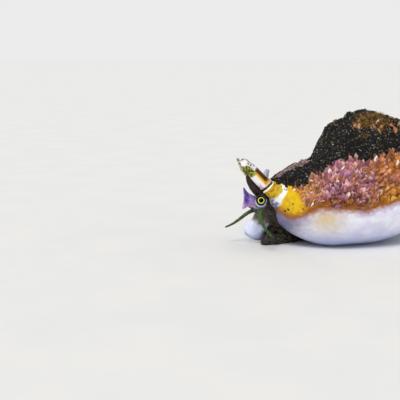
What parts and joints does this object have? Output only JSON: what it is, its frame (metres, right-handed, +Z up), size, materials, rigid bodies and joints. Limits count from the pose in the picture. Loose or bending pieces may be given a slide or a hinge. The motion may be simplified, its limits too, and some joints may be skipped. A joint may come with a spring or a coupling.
{
  "type": "spider conch",
  "caption": "Live sea snail resting on its knobbed spiral shell, with a raised siphonal canal, a flared lip with long curved fingers, stalked eyes and a snout.",
  "frame": {"origin": "on the floor, under the middle of the animal's bounding box", "axes": "the head and the siphonal canal point to -X, the spire to +X, the fingered outer lip to +Y, up is +Z"},
  "size_m": [0.1664, 0.1196, 0.069],
  "materials": {
    "shell_crust": "rough shell under pink and orange crust and dark sand",
    "shell_canal": "white shell with ochre patches",
    "shell_lip": "glossy white shell with a lilac tint",
    "flesh": "moist dark olive skin",
    "snout": "moist violet skin",
    "tentacle": "moist green skin",
    "eye": "wet black eye with a yellow-green ring",
    "operculum": "dark brown horn"
  },
  "bodies": {
    "root": {"shell_body_whorl": "shell_crust", "shell_spire": "shell_crust", "shell_siphonal_canal": "shell_canal", "shell_outer_lip": "shell_lip", "finger_1": "shell_lip", "finger_2": "shell_lip", "finger_3": "shell_lip", "finger_4": "shell_lip", "finger_5": "shell_lip", "finger_6": "shell_lip", "mantle": "flesh", "foot_front": "flesh", "foot_rear": "flesh", "operculum": "operculum", "siphon": "flesh", "snout": "snout", "eyestalk_left": "flesh", "eyestalk_right": "flesh", "eye_left": "eye", "eye_right": "eye", "tentacle_left": "tentacle", "tentacle_right": "tentacle"}
  },
  "joints": []
}
